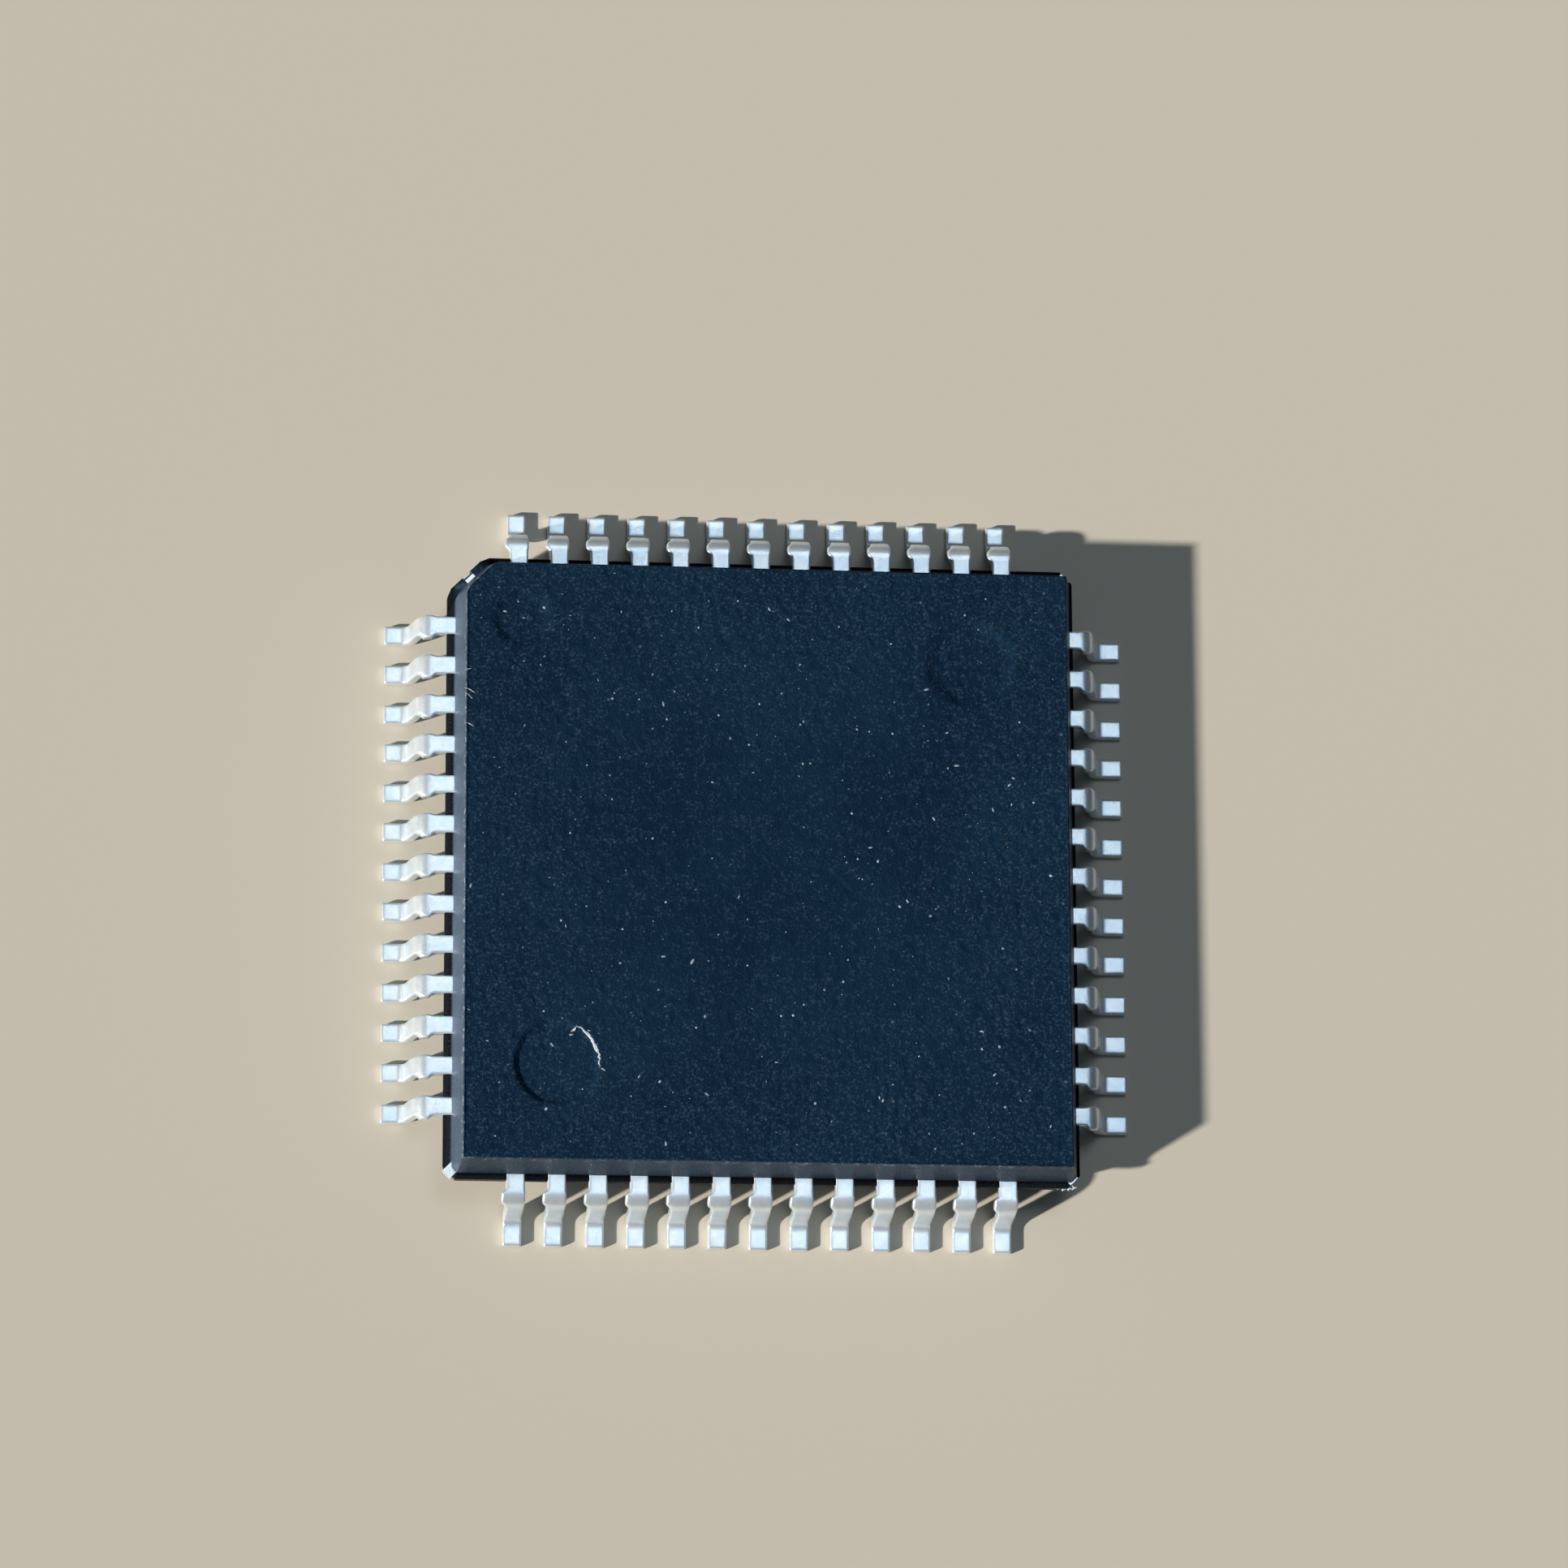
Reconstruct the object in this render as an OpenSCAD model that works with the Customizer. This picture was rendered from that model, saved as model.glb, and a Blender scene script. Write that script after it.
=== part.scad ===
// Quad flat package: a moulded 10 x 10 x 1.4 mm body with 52 gull-wing leads on a 0.65 mm pitch.
// Inside the moulding are the lead frame, the die on its paddle and one bond wire for each lead.
// Origin at the package centre on the seating plane, +Z up. Lead 1 is next to the bevelled corner
// (-X, +Y), and the leads count anticlockwise seen from above.

/* [Moulded body] */
// Thickness of the moulding, underside to top face
body_t = 1.4; // [1.1:0.05:2]
// Gap between the seating plane and the underside of the moulding
standoff = 0.1; // [0.05:0.01:0.2]
// From the centre of the outermost lead to the side of the body
corner_margin = 1.1; // [0.9:0.05:1.6]
// How far the upper half is smaller than the lower half, on each side
upper_inset = 0.045; // [0:0.005:0.1]
// Mismatch of the upper mould half towards +X
mould_shift_x = 0.045; // [0:0.005:0.08]
// Mismatch of the upper mould half towards -Y
mould_shift_y = 0.015; // [0:0.005:0.04]
// Draft of the moulded sides from vertical, degrees
draft = 13; // [5:0.5:16]
// Leg of the bevel at the lead 1 corner
pin1_bevel = 0.53; // [0.3:0.01:0.7]
// Radius that softens the two ends of that bevel
bevel_round = 0.4; // [0.1:0.05:0.5]
// Leg of the small bevel at the other corners
corner_bevel = 0.09; // [0.05:0.01:0.2]

/* [Trimmed web between the leads] */
// How far the web of moulding compound stands out from the body side
web_out = 0.045; // [0.03:0.005:0.1]
// Leg of the web's trimmed corner
web_bevel = 0.2; // [0.1:0.01:0.3]
// How far the web stands off centre, towards -Y
web_shift = 0.02; // [0:0.005:0.03]

/* [Marks in the top and bottom faces] */
// Radius of an ejector pin mark
ejector_r = 0.65; // [0.4:0.05:0.8]
// From the body side to the centre of an ejector pin mark
ejector_in = 1.7; // [1.4:0.05:2]
// Radius of the lead 1 dimple
dimple_r = 0.42; // [0.3:0.02:0.5]
// From the body side to the centre of the lead 1 dimple
dimple_in = 1.12; // [1:0.02:1.4]
// Depth of every mark
mark_depth = 0.05; // [0.02:0.01:0.08]

/* [Leads] */
// Leads on each side
leads_per_side = 13; // [9:1:13]
// Distance between the centres of neighbouring leads
lead_pitch = 0.65; // [0.5:0.01:0.8]
// Thickness of the lead frame strip
lead_t = 0.15; // [0.1:0.01:0.2]
// Width of a lead outside the body
lead_w = 0.3; // [0.22:0.01:0.38]
// From the body side to the tip of the toe
lead_reach = 0.98; // [0.86:0.02:1.4]
// Flat shoulder between the body side and the first bend
shoulder_len = 0.24; // [0.2:0.01:0.3]
// Inside radius of the shoulder bend
shoulder_r = 0.1; // [0.08:0.01:0.13]
// Inside radius of the heel bend
heel_r = 0.1; // [0.08:0.01:0.13]
// Lean of the leg from vertical, degrees
leg_lean = 12; // [5:1:20]
// How far off centre the forming tool bent the leads, towards -X
form_off_x = 0.06; // [0:0.01:0.08]
// How far off centre it bent them towards -Y
form_off_y = 0; // [0:0.01:0.08]

/* [Trimming] */
// From the body side to the stub that the cut dam bar leaves
stub_from = 0.19; // [0.15:0.01:0.25]
// Length of the stub along the lead
stub_len = 0.25; // [0.2:0.01:0.3]
// Length of the slope at each end of a stub
stub_slope = 0.06; // [0.03:0.01:0.08]
// Height of a stub, down from the top of the shoulder
stub_drop = 0.2; // [0.16:0.01:0.24]
// How far a stub stands out from each edge of its lead, when the trim tool is centred
stub_out = 0.04; // [0.035:0.005:0.08]
// How far off centre the trim tool cut the dam bars and toes, towards -X
trim_off_x = 0.03; // [0:0.005:0.03]
// How far off centre it cut them towards -Y
trim_off_y = 0.02; // [0:0.005:0.03]

/* [Inner leads] */
// Side of the die paddle
paddle_w = 4.4; // [3.6:0.1:5.4]
// Clearance between the paddle edge and the lead tips
tip_gap = 0.35; // [0.2:0.05:0.5]
// Width of an inner lead tip
tip_w = 0.2; // [0.12:0.01:0.24]
// Straight length of an inner lead tip
tip_len = 0.25; // [0.2:0.05:0.35]
// From the paddle corner to the centre of the outermost tip, along the edge
tip_corner = 0.22; // [0.2:0.02:0.4]
// From the body side to where a lead turns towards the die
fan_in = 0.6; // [0.55:0.01:0.7]
// Width of the shoulders that lock a lead in the moulding
lock_w = 0.4; // [0.36:0.01:0.46]
// Length of those shoulders
lock_len = 0.2; // [0.15:0.01:0.24]
// From the body side to those shoulders
lock_from = 0.27; // [0.24:0.01:0.3]

/* [Paddle and tie bars] */
// Depth of the paddle below the leads
downset = 0.2; // [0.1:0.02:0.3]
// Width of a tie bar
tie_w = 0.17; // [0.12:0.01:0.22]
// Flat run of a tie bar from the paddle corner to its ramp
tie_flat = 0.15; // [0.1:0.05:0.3]
// Length of the ramp that lifts a tie bar to the leads
tie_ramp = 0.3; // [0.2:0.05:0.5]
// How far the cut tie bar stands out of the web at the -X -Y corner
tie_proud = 0.05; // [0.02:0.01:0.08]
// How far the cut tie bar lies inside the bevel at the lead 1 corner
tie_notch = 0.06; // [0.03:0.01:0.1]

/* [Die and bond wires] */
// Side of the silicon die
die_w = 3; // [2.4:0.1:3.6]
// Thickness of the die
die_t = 0.28; // [0.2:0.01:0.34]
// Thickness of the die attach adhesive
attach_t = 0.025; // [0.02:0.005:0.04]
// Margin of adhesive round the die
attach_out = 0.06; // [0.02:0.01:0.1]
// Diameter of a bond wire
wire_d = 0.03; // [0.02:0.005:0.04]
// Diameter of the ball bond
ball_d = 0.075; // [0.06:0.005:0.09]
// Height of the ball bond
ball_t = 0.02; // [0.015:0.005:0.03]
// Rise of the wire above the ball before it kinks over
wire_rise = 0.15; // [0.1:0.01:0.2]
// From the die edge to the centre of a bond pad
pad_in = 0.1; // [0.06:0.01:0.15]
// From the die corner to the centre of the outermost pad, along the edge
pad_corner = 0.3; // [0.2:0.02:0.4]
// From the end of a lead tip to the end of its wire
stitch_in = 0.12; // [0.08:0.01:0.15]

/* [Hidden] */
$fn = 32;
side_count = 4;
lead_count = side_count * leads_per_side;
middle_lead = (leads_per_side - 1) / 2;
SIDES = ["west", "south", "east", "north"];
function lead_name(n) = str("lead_", n < 10 ? "0" : "", n);
function wires_name(side) = str("bond_wires_", SIDES[side]);

// Levels above the seating plane
body_top = standoff + body_t;
lead_top = standoff + (body_t + lead_t) / 2;
lead_under = lead_top - lead_t;
paddle_top = lead_top - downset;
die_seat = paddle_top + attach_t;
die_top = die_seat + die_t;

// Distances from the body centre
body_half = middle_lead * lead_pitch + corner_margin;
web_half = body_half + web_out;
upper_half = body_half - upper_inset;
tip_at = paddle_w / 2 + tip_gap;
ejector_at = body_half - ejector_in;
pad_at = die_w / 2 - pad_in;
stitch_at = tip_at + stitch_in;

// Spacing along one side, inside the moulding
tip_pitch = (paddle_w - 2 * tip_corner) / (leads_per_side - 1);
pad_pitch = (die_w - 2 * pad_corner) / (leads_per_side - 1);

// The web's bevel at the lead 1 corner keeps the same ledge as its straight sides
web_pin1_bevel = pin1_bevel + (2 - sqrt(2)) * (web_out + upper_inset);
// From the centre to the web's bevel in the direction of one corner
function web_reach(turn, bevel) = (2 * web_half - bevel) / sqrt(2) - web_shift * sin(turn);

// The trim tool's error on one side of the package: away from the body, and along the side
function trim_out(side) = trim_off_x * cos(90 * side) + trim_off_y * sin(90 * side);
function trim_along(side) = trim_off_y * cos(90 * side) - trim_off_x * sin(90 * side);
// The forming tool's error on one side, away from the body
function form_out(side) = form_off_x * cos(90 * side) + form_off_y * sin(90 * side);
// The side that lead n is on, and where its shoulder bend starts and its toe ends
function side_of(n) = floor((n - 1) / leads_per_side);
function bend_at(n) = body_half + shoulder_len + form_out(side_of(n));
function toe_at(n) = body_half + lead_reach + trim_out(side_of(n));

// The cuts reach past the face that they open
past = 0.5;
body_colour = [0.08, 0.15, 0.24];
tin_colour = [0.82, 0.87, 0.9];
copper_colour = [0.8, 0.5, 0.32];
adhesive_colour = [0.72, 0.72, 0.7];
silicon_colour = [0.36, 0.38, 0.45];
gold_colour = [0.93, 0.75, 0.3];

// Slab across the body between two levels, its two long sides leaning in by taper at z_far
module leaning_slab(turn, left, right, z_near, z_far, taper) {
    span = 4 * web_half;
    rotate([90, 0, turn])
        linear_extrude(height = span, center = true)
            polygon([
                [-left, z_near],
                [right, z_near],
                [right - taper, z_far],
                [taper - left, z_far]
            ]);
}

// Square block with a large bevel at the -X +Y corner, small ones at the others, and drafted sides
module bevelled_block(half, big_bevel, small_bevel, z_near, z_far, taper = 0) {
    big = (2 * half - big_bevel) / sqrt(2);
    small = (2 * half - small_bevel) / sqrt(2);
    // Each end of the large bevel has one more face, halfway round its turn
    halfway = 22.5;
    bevel_end = half * cos(halfway) + (half - big_bevel) * sin(halfway);
    softened = bevel_end - bevel_round * (1 / cos(halfway) - 1);
    intersection() {
        leaning_slab(0, half, half, z_near, z_far, taper);
        leaning_slab(90, half, half, z_near, z_far, taper);
        leaning_slab(45, small, small, z_near, z_far, taper);
        leaning_slab(-45, big, small, z_near, z_far, taper);
        leaning_slab(-halfway, softened, 2 * half, z_near, z_far, taper);
        leaning_slab(halfway - 90, softened, 2 * half, z_near, z_far, taper);
    }
}

// Round sunk mark whose wall leans out towards the face at z
module sunk_mark(x, y, z, radius, outward) {
    mouth = outward > 0 ? 0 : 180;
    translate([x, y, z])
        rotate([mouth, 0, 0])
            translate([0, 0, -mark_depth])
                cylinder(h = 2 * mark_depth, r1 = radius - mark_depth, r2 = radius + mark_depth, $fn = 64);
}

module marks() {
    for (diagonal = [-1, 1]) {
        sunk_mark(diagonal * ejector_at, diagonal * ejector_at, body_top, ejector_r, 1);
        sunk_mark(diagonal * ejector_at, diagonal * ejector_at, standoff, ejector_r, -1);
    }
    sunk_mark(dimple_in - body_half, body_half - dimple_in, body_top, dimple_r, 1);
}

// Moulding compound, cast round the lead frame, the die and the wires
module body() {
    upper_taper = (body_top - lead_top) * tan(draft);
    lower_taper = (lead_under - standoff) * tan(draft);
    color(body_colour)
        difference() {
            union() {
                translate([mould_shift_x, -mould_shift_y, 0])
                    bevelled_block(upper_half, pin1_bevel, corner_bevel, lead_top, body_top, upper_taper);
                translate([0, -web_shift, 0])
                    bevelled_block(web_half, web_pin1_bevel, web_bevel, lead_under, lead_top);
                bevelled_block(body_half, pin1_bevel, web_bevel, lead_under, standoff, lower_taper);
            }
            marks();
            for (n = [1:lead_count])
                lead_blank(n, lead_under, lead_t);
            die_paddle();
            // The tie bar ends inside the lead 1 bevel, and its notch is open
            rotate([0, 0, 135])
                tie_bar(web_reach(135, web_pin1_bevel) + past);
            die_attach();
            silicon_die();
            for (side = [0:side_count - 1])
                bond_wires(side);
        }
}

// Place a child drawn for the west side, pointing along +X, on the side of lead n
module on_side_of(n) {
    rotate([0, 0, 180 + 90 * side_of(n)])
        children();
}

// Steps of lead n from the middle lead of its side, counted along +Y when it points along +X
function steps(n) = (n - 1) % leads_per_side - middle_lead;

// Each station of a flat lead: distance from the body centre, sideways place, half width
function stations(across, tip_across, toe) = [
    [tip_at, tip_across, tip_w / 2],
    [tip_at + tip_len, tip_across, tip_w / 2],
    [body_half - fan_in, across, lead_w / 2],
    [body_half - lock_from - lock_len, across, lead_w / 2],
    [body_half - lock_from - lock_len, across, lock_w / 2],
    [body_half - lock_from, across, lock_w / 2],
    [body_half - lock_from, across, lead_w / 2],
    [toe, across, lead_w / 2]
];

// Flat stamped outline of lead n, extruded upwards from level z
module lead_blank(n, z, height) {
    row = stations(steps(n) * lead_pitch, steps(n) * tip_pitch, toe_at(n));
    last = len(row) - 1;
    on_side_of(n)
        translate([0, 0, z])
            linear_extrude(height = height)
                polygon(concat(
                    [for (s = row) [s[0], s[1] - s[2]]],
                    [for (i = [last:-1:0]) [row[i][0], row[i][1] + row[i][2]]]
                ));
}

// Ring sector about a level axis, from angle start over sweep degrees
module bend(at, z, inner_r, start, sweep, width) {
    translate([at, width / 2, z])
        rotate([90, 0, 0])
            rotate([0, 0, start])
                rotate_extrude(angle = sweep, $fn = 48)
                    translate([inner_r, 0])
                        square([lead_t, width]);
}

// What the cut dam bar leaves on both edges of lead n
module dam_bar_stubs(n) {
    from = body_half + stub_from + trim_out(side_of(n));
    to = from + stub_len;
    on_side_of(n)
        translate([0, steps(n) * lead_pitch, lead_top - stub_drop])
            linear_extrude(height = stub_drop)
                for (edge = [-1, 1]) {
                    side_edge = edge * lead_w / 2;
                    stub_edge = edge * (lead_w / 2 + stub_out) + trim_along(side_of(n));
                    polygon([
                        [from, 0],
                        [from, side_edge],
                        [from + stub_slope, stub_edge],
                        [to - stub_slope, stub_edge],
                        [to, side_edge],
                        [to, 0]
                    ]);
                }
}

// Side view of a formed lead as a wide strip: shoulder, bend, leg, heel bend and foot
module formed_strip(width, bend_at, toe) {
    turn = 90 - leg_lean;
    bend_z = lead_under - shoulder_r;
    heel_z = lead_t + heel_r;
    across = shoulder_r + lead_t + heel_r;
    leg_len = (bend_z - heel_z + across * sin(leg_lean)) / cos(leg_lean);
    heel_at = across * cos(leg_lean) + leg_len * sin(leg_lean);
    translate([bend_at, 0, 0]) {
        translate([-bend_at, -width / 2, lead_under])
            cube([bend_at, width, lead_t]);
        bend(0, bend_z, shoulder_r, leg_lean, turn, width);
        translate([0, -width / 2, bend_z])
            rotate([0, -leg_lean, 0])
                translate([shoulder_r, 0, -leg_len])
                    cube([lead_t, width, leg_len]);
        bend(heel_at, heel_z, heel_r, 180 + leg_lean, turn, width);
        translate([heel_at, -width / 2, 0])
            cube([toe - bend_at - heel_at, width, lead_t]);
    }
}

// Lead n: the stamped outline, with the formed side view
module lead(n) {
    color(tin_colour)
        intersection() {
            union() {
                lead_blank(n, 0, lead_top);
                dam_bar_stubs(n);
            }
            on_side_of(n)
                formed_strip(2 * body_half, bend_at(n), toe_at(n));
        }
}

// Tie bar from the paddle to a corner, drawn along +X and ending at reach
module tie_bar(reach) {
    start = paddle_w / sqrt(2) - tie_w;
    ramp_from = paddle_w / sqrt(2) + tie_flat;
    ramp_to = ramp_from + tie_ramp;
    translate([0, tie_w / 2, 0])
        rotate([90, 0, 0])
            linear_extrude(height = tie_w)
                polygon([
                    [start, paddle_top - lead_t],
                    [ramp_from, paddle_top - lead_t],
                    [ramp_to, lead_under],
                    [reach, lead_under],
                    [reach, lead_top],
                    [ramp_to, lead_top],
                    [ramp_from, paddle_top],
                    [start, paddle_top]
                ]);
}

// Die paddle with its four tie bars, cut off at the corners of the body
module die_paddle() {
    color(copper_colour) {
        translate([-paddle_w / 2, -paddle_w / 2, paddle_top - lead_t])
            cube([paddle_w, paddle_w, lead_t]);
        rotate([0, 0, 45])
            tie_bar(web_reach(45, web_bevel));
        rotate([0, 0, 135])
            tie_bar(web_reach(135, web_pin1_bevel) - tie_notch);
        rotate([0, 0, 225])
            tie_bar(web_reach(225, web_bevel) + tie_proud);
        rotate([0, 0, 315])
            tie_bar(web_reach(315, web_bevel));
    }
}

module die_attach() {
    size = die_w + 2 * attach_out;
    color(adhesive_colour)
        translate([-size / 2, -size / 2, paddle_top])
            cube([size, size, attach_t]);
}

module silicon_die() {
    color(silicon_colour)
        translate([-die_w / 2, -die_w / 2, die_seat])
            cube([die_w, die_w, die_t]);
}

// One wire from a ball bond at the origin: up to a kink, then down to a stitch at run, drop
module bond_wire(run, drop) {
    rise = ball_t + wire_rise;
    slope = atan2(rise - drop, run);
    length = norm([run, rise - drop]);
    cylinder(h = ball_t, d = ball_d);
    cylinder(h = rise, d = wire_d);
    translate([0, 0, rise])
        sphere(d = wire_d);
    difference() {
        translate([0, 0, rise])
            rotate([0, 90 + slope, 0])
                cylinder(h = length + wire_d, d = wire_d);
        translate([run - past, -past / 2, drop - past])
            cube([2 * past, past, past]);
    }
}

// The wires of one side, each a separate solid from its bond pad to its lead tip
module bond_wires(side) {
    color(gold_colour)
        for (place = [1:leads_per_side]) {
            n = side * leads_per_side + place;
            pad_across = steps(n) * pad_pitch;
            tip_across = steps(n) * tip_pitch;
            ahead = stitch_at - pad_at;
            aside = tip_across - pad_across;
            on_side_of(n)
                translate([pad_at, pad_across, die_top])
                    rotate([0, 0, atan2(aside, ahead)])
                        bond_wire(norm([ahead, aside]), lead_top - die_top);
        }
}

body();
for (n = [1:lead_count])
    lead(n);
die_paddle();
die_attach();
silicon_die();
for (side = [0:side_count - 1])
    bond_wires(side);
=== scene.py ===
"""Looks for a quad flat pack chip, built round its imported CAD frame.

Lengths are metres, and MM turns millimetres into them. The leads and the moulding are finer copies of their
CAD nodes, with worn edges and small irregularities.
"""

import math
import random

import bmesh
import bpy
from mathutils import Matrix, Vector, noise


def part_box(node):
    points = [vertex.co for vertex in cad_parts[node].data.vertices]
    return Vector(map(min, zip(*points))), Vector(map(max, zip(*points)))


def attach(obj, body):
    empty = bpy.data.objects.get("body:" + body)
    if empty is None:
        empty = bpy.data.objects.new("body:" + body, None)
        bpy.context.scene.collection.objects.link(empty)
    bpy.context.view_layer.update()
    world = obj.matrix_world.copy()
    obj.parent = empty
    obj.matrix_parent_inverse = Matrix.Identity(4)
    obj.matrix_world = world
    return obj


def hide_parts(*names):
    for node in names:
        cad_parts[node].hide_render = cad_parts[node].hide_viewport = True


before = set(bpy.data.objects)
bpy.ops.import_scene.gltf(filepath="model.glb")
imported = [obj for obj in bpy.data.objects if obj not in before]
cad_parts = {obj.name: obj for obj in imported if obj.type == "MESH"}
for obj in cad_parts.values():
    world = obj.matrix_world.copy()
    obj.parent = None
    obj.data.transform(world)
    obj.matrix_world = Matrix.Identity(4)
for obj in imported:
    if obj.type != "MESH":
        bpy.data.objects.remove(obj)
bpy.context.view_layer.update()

MM = 0.001
random.seed(52)

# ---------------------------------------------------------------- what the frame says
body_low, body_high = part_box("body")
LEADS = sorted(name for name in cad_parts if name.startswith("lead_"))
WIRES = sorted(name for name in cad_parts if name.startswith("bond_wires_"))
BODY_TOP = body_high.z
BODY_BOTTOM = body_low.z
LEAD_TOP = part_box(LEADS[0])[1].z
WEB_T = 0.15 * MM
WEB_MIDDLE = LEAD_TOP - WEB_T / 2
WEB_HALF = body_high.x
LEADS_PER_SIDE = len(LEADS) // 4

# Marks in the faces, as the CAD body has them: distances from its middle, and radii at the face
EJECTOR_OUT = 3.3 * MM
EJECTOR_R = 0.65 * MM
DIMPLE_X = -3.88 * MM
DIMPLE_Y = 3.88 * MM
DIMPLE_R = 0.42 * MM
MARK_DEPTH = 0.05 * MM

# Inside the moulding, where each lead's exposed part is joined to its inner part
INNER_CUT = WEB_HALF - 0.12 * MM


# ---------------------------------------------------------------- node helpers
def new_material(name):
    mat = bpy.data.materials.new(name)
    mat.use_nodes = True
    shader = mat.node_tree.nodes["Principled BSDF"]
    return mat, mat.node_tree, shader


def add_node(tree, kind, settings=None, inputs=None):
    node = tree.nodes.new(kind)
    for key, value in (settings or {}).items():
        setattr(node, key, value)
    for key, value in (inputs or {}).items():
        if isinstance(value, bpy.types.NodeSocket):
            tree.links.new(value, node.inputs[key])
        else:
            node.inputs[key].default_value = value
    return node


def math_node(tree, operation, a, b=0.0):
    return add_node(tree, "ShaderNodeMath", {"operation": operation}, {0: a, 1: b}).outputs[0]


def millimetres(tree):
    """The piece's own coordinates, in millimetres."""
    coords = add_node(tree, "ShaderNodeTexCoord")
    scale = add_node(tree, "ShaderNodeVectorMath", {"operation": "SCALE"},
                     {0: coords.outputs["Object"], "Scale": 1 / MM})
    return scale.outputs[0]


def grain(tree, where, per_mm, detail=2.0, rough=0.5):
    return add_node(tree, "ShaderNodeTexNoise", {}, {
        "Vector": where, "Scale": per_mm, "Detail": detail, "Roughness": rough}).outputs["Fac"]


def remap(tree, value, low, high, to_low=0.0, to_high=1.0):
    inputs = {"Value": value, "From Min": low, "From Max": high, "To Min": to_low, "To Max": to_high}
    return add_node(tree, "ShaderNodeMapRange", {"clamp": True}, inputs).outputs["Result"]


def mix_colour(tree, amount, first, second):
    node = add_node(tree, "ShaderNodeMix", {"data_type": "RGBA"})
    for socket, value in ((node.inputs[0], amount), (node.inputs[6], first), (node.inputs[7], second)):
        if isinstance(value, bpy.types.NodeSocket):
            tree.links.new(value, socket)
        elif isinstance(value, tuple):
            socket.default_value = (*value, 1)
        else:
            socket.default_value = value
    return node.outputs[2]


def bump(tree, shader, height, distance):
    node = add_node(tree, "ShaderNodeBump", {}, {"Height": height, "Distance": distance, "Strength": 1.0})
    tree.links.new(node.outputs["Normal"], shader.inputs["Normal"])


# ---------------------------------------------------------------- materials
def specks(tree, where, per_mm, size, share):
    """Pale grains of filler: a dot in a share of the cells, each of its own size and strength."""
    cells = add_node(tree, "ShaderNodeTexVoronoi", {"feature": "F1"}, {"Vector": where, "Scale": per_mm})
    chance = add_node(tree, "ShaderNodeSeparateColor", {}, {"Color": cells.outputs["Color"]})
    chosen = remap(tree, chance.outputs["Red"], 1 - share, 1.0)
    radius = math_node(tree, "MULTIPLY", chosen, size * per_mm)
    inside = math_node(tree, "SUBTRACT", radius, cells.outputs["Distance"])
    return remap(tree, inside, 0.0, 0.4 * size * per_mm)


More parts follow.
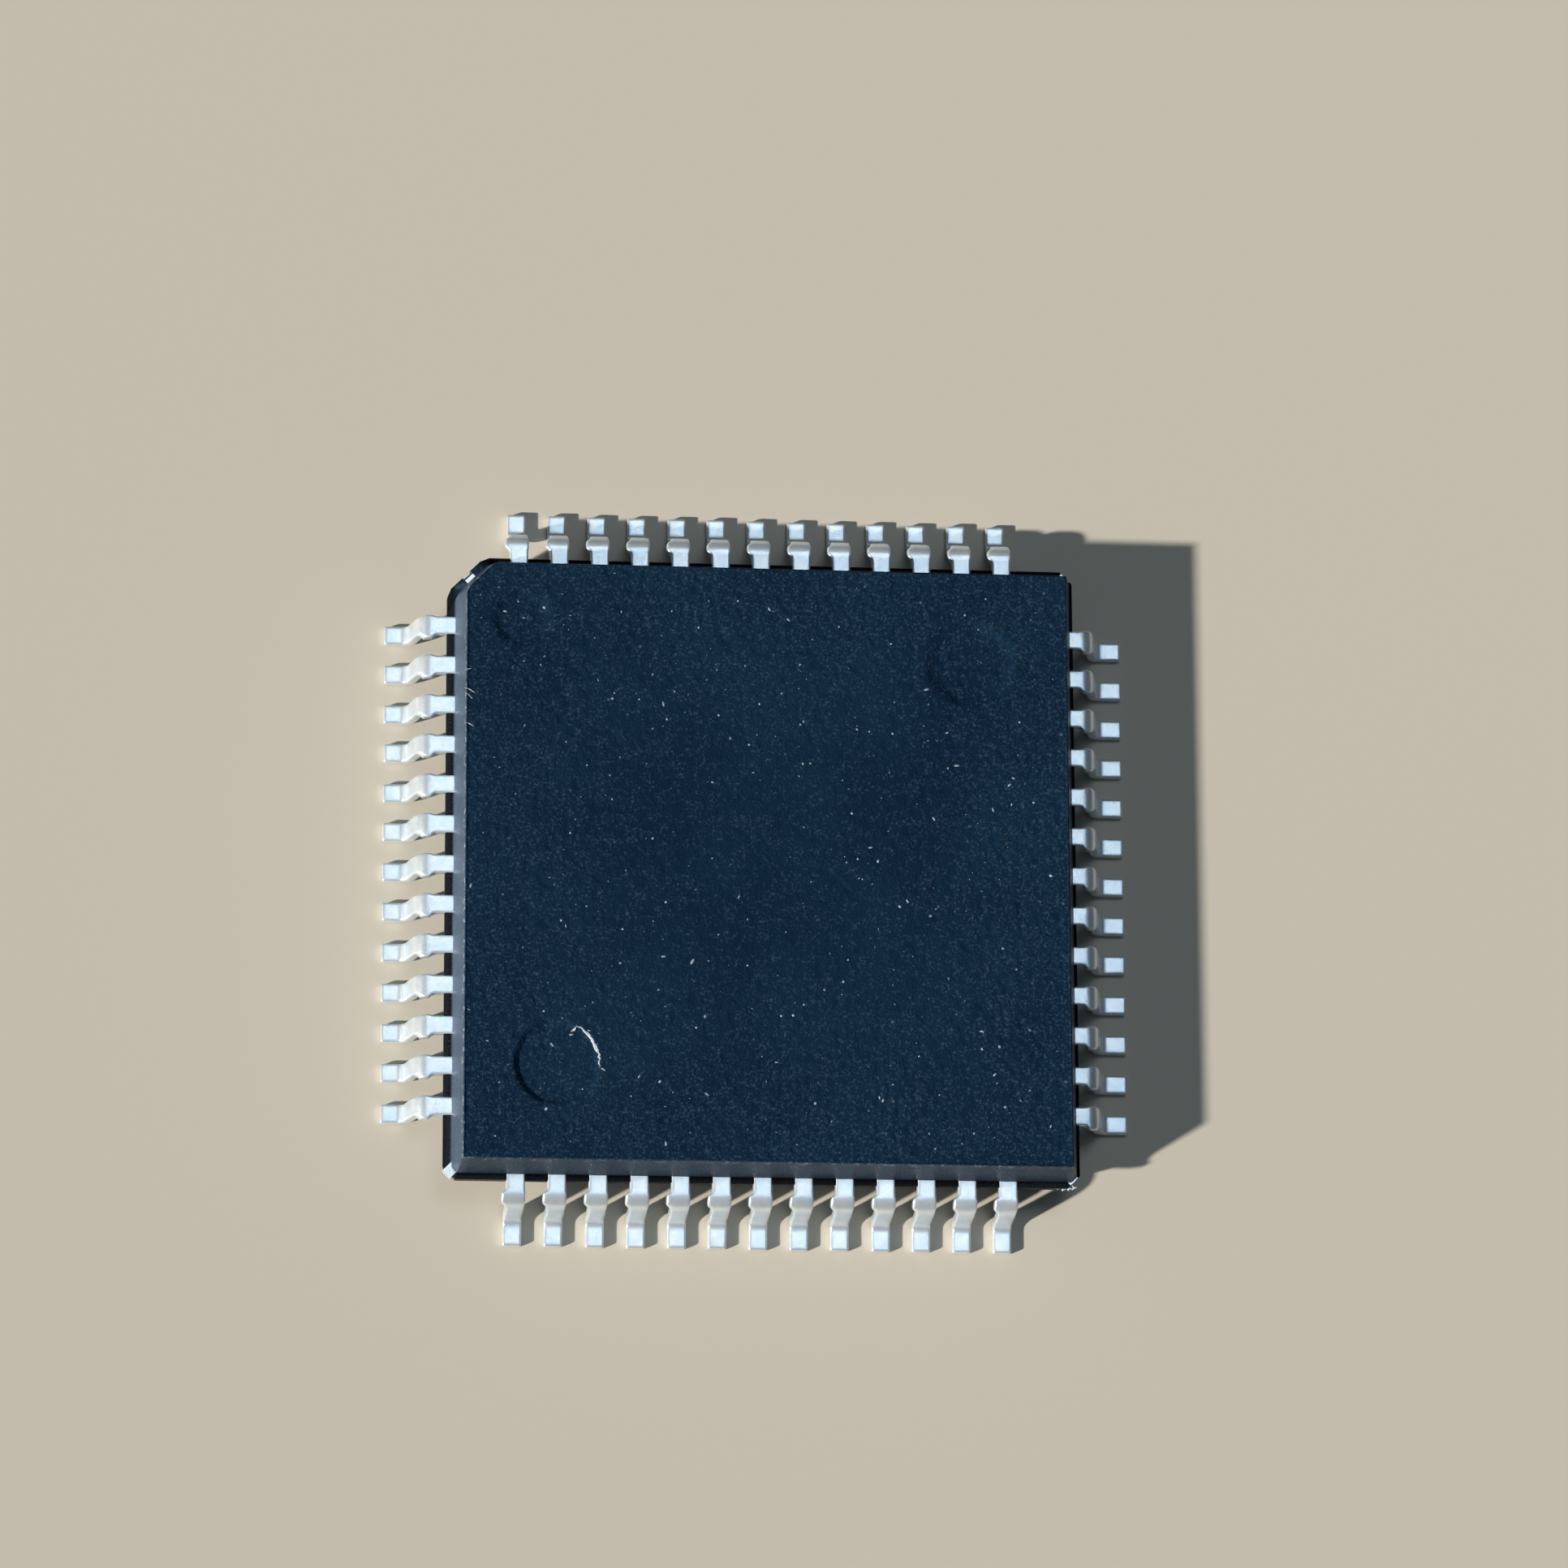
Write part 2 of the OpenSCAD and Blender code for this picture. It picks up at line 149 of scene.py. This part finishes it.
def moulding_compound():
    """Near-black filled epoxy, its blue cast a painted reflection of blue sky: grained faces with pale ridges,
    smooth scuffed walls painted paler as painted sheen and paler still on the lit west side, and a nearly black
    web that is partly painted shade.
    """
    mat, tree, shader = new_material("moulding_compound")
    where = millimetres(tree)
    place = add_node(tree, "ShaderNodeSeparateXYZ", {}, {"Vector": where})
    x, y, z = (place.outputs[axis] for axis in "XYZ")
    rim = math_node(tree, "MAXIMUM", math_node(tree, "ABSOLUTE", x), math_node(tree, "ABSOLUTE", y))
    normal = add_node(tree, "ShaderNodeTexCoord").outputs["Normal"]
    facing = add_node(tree, "ShaderNodeSeparateXYZ", {}, {"Vector": normal})
    flat = remap(tree, math_node(tree, "ABSOLUTE", facing.outputs["Z"]), 0.35, 0.75)

    # Grained faces: dark in the pits and paler on the ridges
    fine = grain(tree, where, 22.0, 3.0, 0.65)
    patches = grain(tree, where, 5.5, 4.0, 0.7)
    broad = grain(tree, where, 0.5, 2.0)
    # The navy of these face colours is a painted reflection of blue sky on near-black compound, with broad
    # random changes of tone.
    sky_tinted_face = mix_colour(tree, remap(tree, broad, 0.35, 0.65), (0.0016, 0.0120, 0.0330),
                      (0.0030, 0.0175, 0.0430))
    coarser = math_node(tree, "ADD", patches, remap(tree, rim, 2.0, 4.6, 0.0, 0.10))
    ridge_mask = math_node(tree, "MULTIPLY", remap(tree, fine, 0.50, 0.72), remap(tree, coarser, 0.46, 0.66))
    face = mix_colour(tree, math_node(tree, "MULTIPLY", ridge_mask, 0.75), sky_tinted_face, (0.055, 0.095, 0.140))
    small = specks(tree, where, 4.0, 0.030, 0.35)
    face = mix_colour(tree, math_node(tree, "MULTIPLY", small, 0.45), face, (0.16, 0.21, 0.26))

    # Walls: polished by the mould and painted paler than the faces as painted sheen, palest on the west wall as
    # painted light from the key lamp, with scuffs along the top edge that are partly painted glint
    streaks = grain(tree, where, 2.6, 3.0)
    # Painted light: the west wall, which faces the key lamp, is painted paler.
    sunlit_west_wall = remap(tree, x, -4.65, -4.95)
    # These wall colours are paler than the faces' as painted sheen: the same compound, painted lighter where
    # its walls meet the light at a slant.
    wall = mix_colour(tree, remap(tree, streaks, 0.3, 0.7), (0.020, 0.034, 0.056), (0.034, 0.052, 0.080))
    painted_lit_wall = mix_colour(tree, remap(tree, streaks, 0.3, 0.7), (0.085, 0.125, 0.185), (0.120, 0.165, 0.235))
    wall = mix_colour(tree, sunlit_west_wall, wall, painted_lit_wall)
    edge = remap(tree, z, BODY_TOP / MM - 0.14, BODY_TOP / MM - 0.02)
    # Pale scuffs along the top edge: real wear, made stronger towards the west side, where a painted highlight
    # of the key lamp's glint on the rounded rim is laid in with them.
    scuffs_and_glint = math_node(tree, "MULTIPLY", remap(tree, grain(tree, where, 9.0, 4.0, 0.75), 0.54, 0.62), edge)
    wall = mix_colour(tree, math_node(tree, "MULTIPLY", scuffs_and_glint, remap(tree, x, -4.2, -4.7, 0.35, 0.9)),
                      wall, (0.46, 0.54, 0.62))

    # The web between the leads, dull and nearly black: partly its own dark tone, partly painted shade between
    # the leads
    level = math_node(tree, "ABSOLUTE", math_node(tree, "SUBTRACT", z, WEB_MIDDLE / MM))
    web_tone_and_shade = math_node(tree, "MULTIPLY", remap(tree, level, WEB_T / MM / 2 + 0.03, WEB_T / MM / 2 + 0.01),
                    remap(tree, rim, 4.90, 4.94))
    colour = mix_colour(tree, flat, wall, face)
    colour = mix_colour(tree, web_tone_and_shade, colour, (0.0050, 0.0045, 0.0060))
    tree.links.new(colour, shader.inputs["Base Color"])
    tree.links.new(remap(tree, flat, 0.0, 1.0, 0.34, 0.72), shader.inputs["Roughness"])
    shader.inputs["Specular IOR Level"].default_value = 0.22
    # The blue specular tint colours the compound's reflections like a blue sky: a painted reflection colour.
    shader.inputs["Specular Tint"].default_value = (0.45, 0.80, 1.0, 1)
    bump(tree, shader, math_node(tree, "ADD", fine, math_node(tree, "MULTIPLY", patches, 0.8)), 0.012 * MM)
    return mat


def tin_plating():
    """Matte tin over copper alloy, which is bare where the moulding covers it."""
    mat, tree, shader = new_material("tin_plating")
    where = millimetres(tree)
    place = add_node(tree, "ShaderNodeSeparateXYZ", {}, {"Vector": where})
    x = math_node(tree, "ABSOLUTE", place.outputs["X"])
    y = math_node(tree, "ABSOLUTE", place.outputs["Y"])
    corner = math_node(tree, "MULTIPLY", math_node(tree, "ADD", x, y), 0.53)
    reach = math_node(tree, "MAXIMUM", math_node(tree, "MAXIMUM", x, y), corner)
    outside = remap(tree, reach, WEB_HALF / MM - 0.24, WEB_HALF / MM - 0.20)
    grains = grain(tree, where, 45.0, 3.0, 0.6)
    cloud = grain(tree, where, 5.0, 3.0, 0.55)
    # These tin colours are the plating's pale grey with a painted blue sky reflection in them.
    tin = mix_colour(tree, remap(tree, cloud, 0.35, 0.65), (0.76, 0.86, 0.93), (0.88, 0.93, 0.95))
    dull = math_node(tree, "MULTIPLY", remap(tree, grains, 0.55, 0.75), 0.25)
    tin = mix_colour(tree, dull, tin, (0.58, 0.68, 0.78))
    copper = mix_colour(tree, remap(tree, cloud, 0.3, 0.7), (0.62, 0.32, 0.19), (0.74, 0.43, 0.28))
    tree.links.new(mix_colour(tree, outside, copper, tin), shader.inputs["Base Color"])
    shader.inputs["Metallic"].default_value = 0.62
    tree.links.new(remap(tree, grains, 0.3, 0.7, 0.30, 0.40), shader.inputs["Roughness"])
    bump(tree, shader, math_node(tree, "ADD", math_node(tree, "MULTIPLY", grains, 0.5), cloud), 0.003 * MM)
    return mat


def metal(name, dark, light, roughness, per_mm, metallic=1.0):
    mat, tree, shader = new_material(name)
    where = millimetres(tree)
    cloud = grain(tree, where, per_mm, 3.0)
    tree.links.new(mix_colour(tree, remap(tree, cloud, 0.3, 0.7), dark, light), shader.inputs["Base Color"])
    shader.inputs["Metallic"].default_value = metallic
    tree.links.new(remap(tree, cloud, 0.3, 0.7, roughness - 0.06, roughness + 0.06), shader.inputs["Roughness"])
    bump(tree, shader, grain(tree, where, 8 * per_mm, 2.0), 0.002 * MM)
    return mat


MOULDING = moulding_compound()
TIN = tin_plating()
ADHESIVE = metal("die_adhesive", (0.42, 0.42, 0.41), (0.60, 0.60, 0.58), 0.55, 12.0, 0.4)
SILICON = metal("silicon", (0.10, 0.11, 0.15), (0.17, 0.18, 0.23), 0.18, 2.0, 0.9)
GOLD = metal("gold_wire", (0.86, 0.60, 0.20), (0.95, 0.74, 0.33), 0.25, 20.0)
GRAINS = metal("filler_grain", (0.13, 0.18, 0.22), (0.50, 0.56, 0.60), 0.6, 2.5, 0.0)
FLASH = metal("torn_moulding", (0.40, 0.46, 0.52), (0.78, 0.82, 0.85), 0.6, 30.0, 0.0)


# ---------------------------------------------------------------- finer copies of CAD nodes
def cad_copy(name):
    """The CAD node's mesh with its vertices merged."""
    bm = bmesh.new()
    bm.from_mesh(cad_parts[name].data)
    bmesh.ops.remove_doubles(bm, verts=bm.verts, dist=1e-5 * MM)
    return bm


def outward(point):
    return max(abs(point.x), abs(point.y))


def finish_piece(bm, name, node, material, smooth_below=35):
    """Turn a bmesh into a smooth-shaded piece, which stands for a CAD node where one is named."""
    mesh = bpy.data.meshes.new(name)
    bm.to_mesh(mesh)
    bm.free()
    mesh.materials.append(material)
    mesh.shade_smooth()
    mesh.set_sharp_from_angle(angle=math.radians(smooth_below))
    piece = bpy.data.objects.new(name, mesh)
    bpy.context.scene.collection.objects.link(piece)
    even = piece.modifiers.new("even_shading", "WEIGHTED_NORMAL")
    even.keep_sharp = True
    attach(piece, "root")
    if node:
        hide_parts(node)
    return piece


def ease(amount):
    """A smooth step from 0 to 1."""
    amount = min(1.0, max(0.0, amount))
    return amount * amount * (3 - 2 * amount)


# ---------------------------------------------------------------- the moulding
FACE_STEP = 0.040 * MM
SOLE_STEP = 0.09 * MM
RELIEF = 0.017 * MM
RIM_R = 0.022 * MM
# How far a mark's rim wanders, and how near two heights are taken as one
RIM_WANDER = 0.030 * MM
SAME_LEVEL = 1e-4 * MM


def wrinkle(x, y):
    """Height of the spark-eroded mould's grain at a place on a face, from 0 to 1, coarser near the rim."""
    place = Vector((x / MM, y / MM, 0.0))
    fine = noise.noise(place * 10.0)
    folded = 1 - 3 * abs(noise.noise(Vector((place.x * 6.5 + 7, place.y * 4.2, 2.0))))
    broad = noise.noise(place * 1.1 + Vector((3, 5, 9)))
    rim = ease((max(abs(place.x), abs(place.y)) - 1.6) / 2.6)
    strength = 0.50 + 0.55 * rim + 0.35 * broad
    return 0.5 + 0.5 * max(-1.0, min(1.0, strength * (0.9 * fine + 0.9 * (folded - 0.35))))


# Middle and radius of each mark, and how far its wall spreads
MARKS = [(-EJECTOR_OUT, -EJECTOR_OUT, EJECTOR_R, 0.05 * MM), (EJECTOR_OUT, EJECTOR_OUT, EJECTOR_R, 0.26 * MM),
         (DIMPLE_X, DIMPLE_Y, DIMPLE_R, 0.18 * MM)]


def sunk(x, y, marks):
    """Depth of the ejector pin and lead 1 marks, whose rims wander a little."""
    depth = 0.0
    for mark_x, mark_y, radius, spread in marks:
        away = math.hypot(x - mark_x, y - mark_y)
        if away < radius + spread:
            turn = math.atan2(y - mark_y, x - mark_x)
            around = Vector((2.6 * math.cos(turn), 2.6 * math.sin(turn), mark_x / MM))
            wander = RIM_WANDER * noise.noise(around)
            depth = max(depth, MARK_DEPTH * ease((radius + wander + 0.5 * spread - away) / spread))
    return depth


def open_face(bm, level, up):
    """Take away a face and its marks, close the hole with one flat polygon, and return that polygon."""
    depth = MARK_DEPTH + 0.002 * MM
    gone = [f for f in bm.faces
            if all(abs(v.co.z - level) < depth and outward(v.co) < WEB_HALF for v in f.verts)]
    bmesh.ops.delete(bm, geom=gone, context="FACES")
    edges = [e for e in bm.edges if e.is_boundary]
    face = bmesh.ops.contextual_create(bm, geom=edges)["faces"][0]
    face.normal_update()
    if (face.normal.z > 0) != up:
        face.normal_flip()
    return face


def cut_into_cells(bm, face, step):
    """Cut one convex face by two sets of parallel planes."""
    low = [min(v.co[k] for v in face.verts) for k in (0, 1)]
    high = [max(v.co[k] for v in face.verts) for k in (0, 1)]
    done, ahead = [], [face]
    for axis in (0, 1):
        count = max(1, round((high[axis] - low[axis]) / step))
        size = (high[axis] - low[axis]) / count
        normal = (1, 0, 0) if axis == 0 else (0, 1, 0)
        for i in range(1, count):
            at = low[axis] + i * size
            plane = [at, 0, 0] if axis == 0 else [0, at, 0]
            parts = set(ahead)
            for f in ahead:
                parts.update(f.edges)
                parts.update(f.verts)
            result = bmesh.ops.bisect_plane(bm, geom=list(parts), dist=1e-7 * MM, plane_co=plane,
                                            plane_no=normal)
            faces = {g for g in result["geom"] if isinstance(g, bmesh.types.BMFace)}
            ahead = [f for f in faces if f.calc_center_median()[axis] > at]
            done += [f for f in faces if f.calc_center_median()[axis] < at]
        done, ahead = ([], done + ahead) if axis == 0 else (done + ahead, [])
    return done


def textured_face(bm, level, up, step, marks):
    """Cut a face fine and sink its vertices by the grain and the marks. The rim stays where it is."""
    level_faces = [f for f in bm.faces
                   if abs(f.normal.z) > 0.999 and abs(f.calc_center_median().z - level) < SAME_LEVEL]
    cells = cut_into_cells(bm, max(level_faces, key=lambda f: f.calc_area()), step)
    verts = {v for f in cells for v in f.verts}
    inward = -1 if up else 1
    for v in verts:
        x, y = v.co.xy
        depth = RELIEF * (1 - wrinkle(x, y)) + sunk(x, y, marks)
        v.co.z = level + inward * depth
    return verts


def moulded_body():
    """The moulding: rims rounded, both faces grained, and the leads' pockets as in the CAD body."""
    bm = cad_copy("body")
    open_face(bm, BODY_TOP, True)
    open_face(bm, BODY_BOTTOM, False)
    outer = [v for v in bm.verts if outward(v.co) > 4.6 * MM or abs(v.co.z - BODY_TOP) < SAME_LEVEL
             or abs(v.co.z - BODY_BOTTOM) < SAME_LEVEL]
    inside = set(outer)
    bmesh.ops.dissolve_limit(bm, angle_limit=math.radians(0.5), verts=outer,
                             edges=[e for e in bm.edges if all(v in inside for v in e.verts)])
    rims = [e for e in bm.edges if all(abs(v.co.z - BODY_TOP) < SAME_LEVEL for v in e.verts)
            or all(abs(v.co.z - BODY_BOTTOM) < SAME_LEVEL for v in e.verts)]
    bmesh.ops.bevel(bm, geom=rims, offset=RIM_R, offset_type="OFFSET", segments=3, profile=0.5,
                    affect="EDGES", clamp_overlap=False)
    bm.normal_update()
    textured_face(bm, BODY_TOP, True, FACE_STEP, MARKS)
    textured_face(bm, BODY_BOTTOM, False, SOLE_STEP, MARKS[:2])
    bm.normal_update()
    return finish_piece(bm, "moulded_body", "body", MOULDING, 50)


# ---------------------------------------------------------------- grains and torn edges on the moulding
GRAIN_COUNT = 420
GRAIN_FIELD = 4.7 * MM
SMALL_GRAIN = 0.011 * MM


def filler_grains():
    """Pale grains of filler that show through the top face, some of them smeared into short streaks."""
    bm = bmesh.new()
    for _ in range(GRAIN_COUNT):
        x, y = random.uniform(-GRAIN_FIELD, GRAIN_FIELD), random.uniform(-GRAIN_FIELD, GRAIN_FIELD)
        radius = MM * (0.006 + 0.016 * random.random() ** 3)
        stretch = random.choice((1.0, 1.0, 1.3, 2.4))
        low = BODY_TOP - RELIEF * (1 - wrinkle(x, y)) - sunk(x, y, MARKS)
        rounds = 1 if radius < SMALL_GRAIN else 2
        made = bmesh.ops.create_icosphere(bm, subdivisions=rounds, radius=radius)["verts"]
        bmesh.ops.scale(bm, vec=(1.0, stretch, 0.45), verts=made)
        turn = Matrix.Rotation(random.uniform(0, math.pi), 3, "Z")
        bmesh.ops.rotate(bm, cent=(0, 0, 0), matrix=turn, verts=made)
        for v in made:
            v.co = Vector((v.co.x + x, v.co.y + y, min(BODY_TOP, v.co.z + low)))
    return finish_piece(bm, "filler_grains", None, GRAINS)


def sliver(bm, route, width, low, high):
    """A torn sliver along a route, thin at both ends, between two levels. The route is in millimetres."""
    rings = []
    for i, (x, y) in enumerate(route):
        before, after = Vector(route[max(0, i - 1)]), Vector(route[min(len(route) - 1, i + 1)])
        side = (after - before).orthogonal().normalized()
        along = i / (len(route) - 1)
        half = width * (0.15 + 0.85 * math.sin(math.pi * along) ** 0.6) * (0.7 + 0.6 * random.random()) / 2
        here = Vector((x, y))
        crest = low + (high - low) * (0.6 + 0.4 * random.random())
        corners = [(here - side * half, low), (here - side * 0.5 * half, crest),
                   (here + side * 0.5 * half, crest), (here + side * half, low)]
        rings.append([bm.verts.new((p.x * MM, p.y * MM, level * MM)) for p, level in corners])
    for first, second in zip(rings, rings[1:]):
        for k in range(4):
            bm.faces.new((first[k], first[(k + 1) % 4], second[(k + 1) % 4], second[k]))
    bm.faces.new(rings[0][::-1])
    bm.faces.new(rings[-1])


# Hairs of flash by the west edge: place along it, length and drift. Frayed flash by lead 26: place and reach.
HAIRS = [(3.02, 0.10, 0.02), (2.72, 0.16, -0.08), (2.64, 0.12, -0.10), (2.16, 0.15, -0.07)]
FRAYS = [(4.66, 0.03), (4.74, 0.05), (4.83, 0.045), (4.90, 0.03)]


def torn_edges():
    """The burr on one ejector mark, hairs of flash by the west edge, and frayed flash by lead 26."""
    bm = bmesh.new()
    top = BODY_TOP / MM
    centre = -EJECTOR_OUT / MM
    radius = EJECTOR_R / MM + 0.02

    def on_rim(degrees):
        turn = math.radians(degrees)
        return (centre + (radius + random.uniform(-0.012, 0.012)) * math.cos(turn),
                centre + (radius + random.uniform(-0.012, 0.012)) * math.sin(turn))

    burr = [on_rim(degrees) for degrees in range(-6, 66, 3)]
    sliver(bm, burr, 0.055, top - 0.030, top)
    first, last = Vector(burr[0]), Vector(burr[-1])
    sliver(bm, [first, first + Vector((0.05, -0.02)), first + Vector((0.09, -0.05))], 0.035, top - 0.030, top)
    sliver(bm, [last, last + Vector((-0.04, -0.06)), last + Vector((-0.09, -0.09))], 0.040, top - 0.045, top)
    for y, length, fall in HAIRS:
        root = Vector((-4.79, y))
        route = [root, root + Vector((0.5 * length, 0.3 * fall)), root + Vector((length, fall))]
        sliver(bm, route, 0.016, top - 0.012, top)
    web_top = LEAD_TOP / MM
    for x, reach in FRAYS:
        route = [Vector((x, -4.99)), Vector((x + 0.05, -5.02 - reach)), Vector((x + 0.10, -5.01 - reach))]
        sliver(bm, route, 0.045, web_top - 0.12, web_top - 0.01)
    bmesh.ops.recalc_face_normals(bm, faces=bm.faces)
    return finish_piece(bm, "torn_edges", None, FLASH)


# ---------------------------------------------------------------- the leads
# Millimetres, because the lead is scaled up to them while it is remeshed
VOXEL = 0.013
PLATING_PASSES = 14
LEAD_TRIANGLES = 3600
# Outward directions of the rows in the order of the leads' numbers: west, south, east, north
WAYS = [(-1, 0), (0, -1), (1, 0), (0, 1)]
# The most that one lead strays from its row: sideways, upwards, at its trimmed toe, and over its surface
SWAY = 0.010 * MM
LIFT = 0.006 * MM
TRIM = 0.012 * MM
UNEVEN = 0.0035


def evaluated(bm, kind, settings):
    """A bmesh passed through one modifier."""
    mesh = bpy.data.meshes.new("scratch")
    bm.to_mesh(mesh)
    bm.free()
    thing = bpy.data.objects.new("scratch", mesh)
    bpy.context.scene.collection.objects.link(thing)
    modifier = thing.modifiers.new("scratch", kind)
    for key, value in settings.items():
        setattr(modifier, key, value)
    depsgraph = bpy.context.evaluated_depsgraph_get()
    result = bmesh.new()
    result.from_mesh(thing.evaluated_get(depsgraph).data)
    bpy.data.objects.remove(thing)
    bpy.data.meshes.remove(mesh)
    return result


def cut_off(bm, way, at, keep_outer):
    """Cut at a distance from the centre along a side's direction, and keep one part."""
    normal = Vector((way[0], way[1], 0))
    bmesh.ops.bisect_plane(bm, geom=bm.verts[:] + bm.edges[:] + bm.faces[:], dist=1e-9, plane_co=normal * at,
                           plane_no=normal, clear_outer=not keep_outer, clear_inner=keep_outer)


def plated_shape(node, way):
    """The outer part of a lead, in millimetres: stamped edges softened as bending and plating leave them."""
    bm = cad_copy(node)
    bmesh.ops.scale(bm, vec=(1 / MM, 1 / MM, 1 / MM), verts=bm.verts)
    cut_off(bm, way, INNER_CUT / MM - 0.1, True)
    bmesh.ops.holes_fill(bm, edges=[e for e in bm.edges if e.is_boundary])
    low = [min(v.co[k] for v in bm.verts) for k in range(3)]
    high = [max(v.co[k] for v in bm.verts) for k in range(3)]
    bm = evaluated(bm, "REMESH", {"mode": "VOXEL", "voxel_size": VOXEL})
    for _ in range(PLATING_PASSES):
        bmesh.ops.smooth_vert(bm, verts=bm.verts, factor=0.5, use_axis_x=True, use_axis_y=True, use_axis_z=True)
    for v in bm.verts:
        for k in range(3):
            v.co[k] = min(high[k], max(low[k], v.co[k]))
    bmesh.ops.triangulate(bm, faces=bm.faces[:])
    ratio = min(1.0, LEAD_TRIANGLES / len(bm.faces))
    bm = evaluated(bm, "DECIMATE", {"decimate_type": "COLLAPSE", "ratio": ratio})
    cut_off(bm, way, INNER_CUT / MM, True)
    bmesh.ops.scale(bm, vec=(MM, MM, MM), verts=bm.verts)
    return bm


def lead_number(node):
    return int(node.split("_")[1])


def formed_lead(node, shape, way, shift):
    """One lead: its side's plated shape, moved along and bent a little unevenly, on its own inner part."""
    bm = shape.copy()
    along = Vector((way[1], way[0], 0))
    number = lead_number(node)
    sway = random.uniform(-SWAY, SWAY)
    lift = random.uniform(0.0, LIFT)
    trim = random.uniform(0.0, TRIM)
    for v in bm.verts:
        reach = v.co.x * way[0] + v.co.y * way[1]
        free = ease((reach - WEB_HALF) / (0.9 * MM))
        rough = noise.noise_vector(Vector(v.co) / MM * 4.5 + Vector((number * 3.7, 0, 0)))
        v.co += along * (shift + sway * free) + rough * UNEVEN * MM * ease((reach - WEB_HALF) / (0.15 * MM))
        v.co -= Vector((way[0], way[1], 0)) * trim * ease((reach - WEB_HALF - 0.6 * MM) / (0.3 * MM))
        v.co.z = max(0.0, v.co.z + lift * free)
    bm.normal_update()
    inner = cad_copy(node)
    cut_off(inner, way, INNER_CUT - 0.05 * MM, False)
    joined = bpy.data.meshes.new("scratch")
    inner.to_mesh(joined)
    inner.free()
    bm.from_mesh(joined)
    bpy.data.meshes.remove(joined)
    bmesh.ops.bridge_loops(bm, edges=[e for e in bm.edges if e.is_boundary])
    bmesh.ops.recalc_face_normals(bm, faces=bm.faces)
    finish_piece(bm, f"formed_{node}", node, TIN, 40)


def formed_leads():
    for index, way in enumerate(WAYS):
        row = LEADS[index * LEADS_PER_SIDE:(index + 1) * LEADS_PER_SIDE]
        middle = row[len(row) // 2]
        shape = plated_shape(middle, way)
        along = Vector((way[1], way[0], 0))
        for node in row:
            # The toe's middle, which the inner lead's fan doesn't reach
            shift = foot_middle(node, way).dot(along) - foot_middle(middle, way).dot(along)
            formed_lead(node, shape, way, shift)
        shape.free()


def foot_middle(node, way):
    """Middle of a lead's foot, from the vertices of its toe."""
    direction = Vector((way[0], way[1], 0))
    points = [v.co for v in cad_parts[node].data.vertices]
    far = max(p.dot(direction) for p in points)
    toe = [p for p in points if p.dot(direction) > far - 0.01 * MM]
    return sum(toe, Vector()) / len(toe)


moulded_body()
filler_grains()
torn_edges()
formed_leads()
for node, material in [("die_paddle", TIN), ("die_attach", ADHESIVE), ("silicon_die", SILICON)] + \
        [(name, GOLD) for name in WIRES]:
    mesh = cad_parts[node].data
    mesh.materials.clear()
    mesh.materials.append(material)


# ---------------------------------------------------------------- camera, light and floor
def camera():
    data = bpy.data.cameras.new("camera")
    data.lens = 155.5
    data.sensor_width = 36
    data.clip_start = 1 * MM
    cam = bpy.data.objects.new("camera", data)
    cam.location = (-11.17 * MM, -23.59 * MM, 105.45 * MM)
    cam.rotation_euler = (math.radians(13.391), math.radians(-6.239), math.radians(-0.216))
    bpy.context.scene.collection.objects.link(cam)
    bpy.context.scene.camera = cam


def area_lamp(name, size, energy, colour, place):
    """A round lamp that faces the chip."""
    data = bpy.data.lights.new(name, "AREA")
    data.shape = "DISK"
    data.size = size
    data.energy = energy
    data.color = colour
    lamp = bpy.data.objects.new(name, data)
    lamp.location = place
    lamp.rotation_euler = lamp.location.to_track_quat("Z", "Y").to_euler()
    bpy.context.scene.collection.objects.link(lamp)


def lights():
    """A low key lamp from the corner by lead 13, two cool lamps overhead, one wide, and a weak even fill."""
    key = bpy.data.lights.new("key", "SUN")
    key.energy = 4.7
    key.angle = math.radians(2.4)
    key.color = (1.0, 0.97, 0.92)
    lamp = bpy.data.objects.new("key", key)
    travel = Vector((2.40, 1.02, -1.50))
    lamp.rotation_euler = travel.to_track_quat("-Z", "Y").to_euler()
    bpy.context.scene.collection.objects.link(lamp)

    area_lamp("softbox", 0.068, 0.040, (0.80, 0.92, 1.0), Vector((0.13, 0.24, 0.96)) * 0.2)
    area_lamp("sky", 0.24, 0.045, (0.42, 0.68, 1.0), Vector((0.10, 0.05, 0.96)) * 0.24)

    world = bpy.data.worlds.new("studio")
    world.use_nodes = True
    world.node_tree.nodes["Background"].inputs["Color"].default_value = (0.85, 0.90, 1.0, 1)
    world.node_tree.nodes["Background"].inputs["Strength"].default_value = 0.035
    bpy.context.scene.world = world


def floor():
    mesh = bpy.data.meshes.new("floor")
    half = 0.5
    corners = [(-half, -half, 0), (half, -half, 0), (half, half, 0), (-half, half, 0)]
    mesh.from_pydata(corners, [], [(0, 1, 2, 3)])
    mat, _, shader = new_material("floor_card")
    shader.inputs["Base Color"].default_value = (0.62, 0.56, 0.46, 1)
    shader.inputs["Roughness"].default_value = 0.9
    mesh.materials.append(mat)
    sheet = bpy.data.objects.new("floor", mesh)
    bpy.context.scene.collection.objects.link(sheet)


camera()
lights()
floor()
bpy.context.scene.view_settings.view_transform = "Standard"
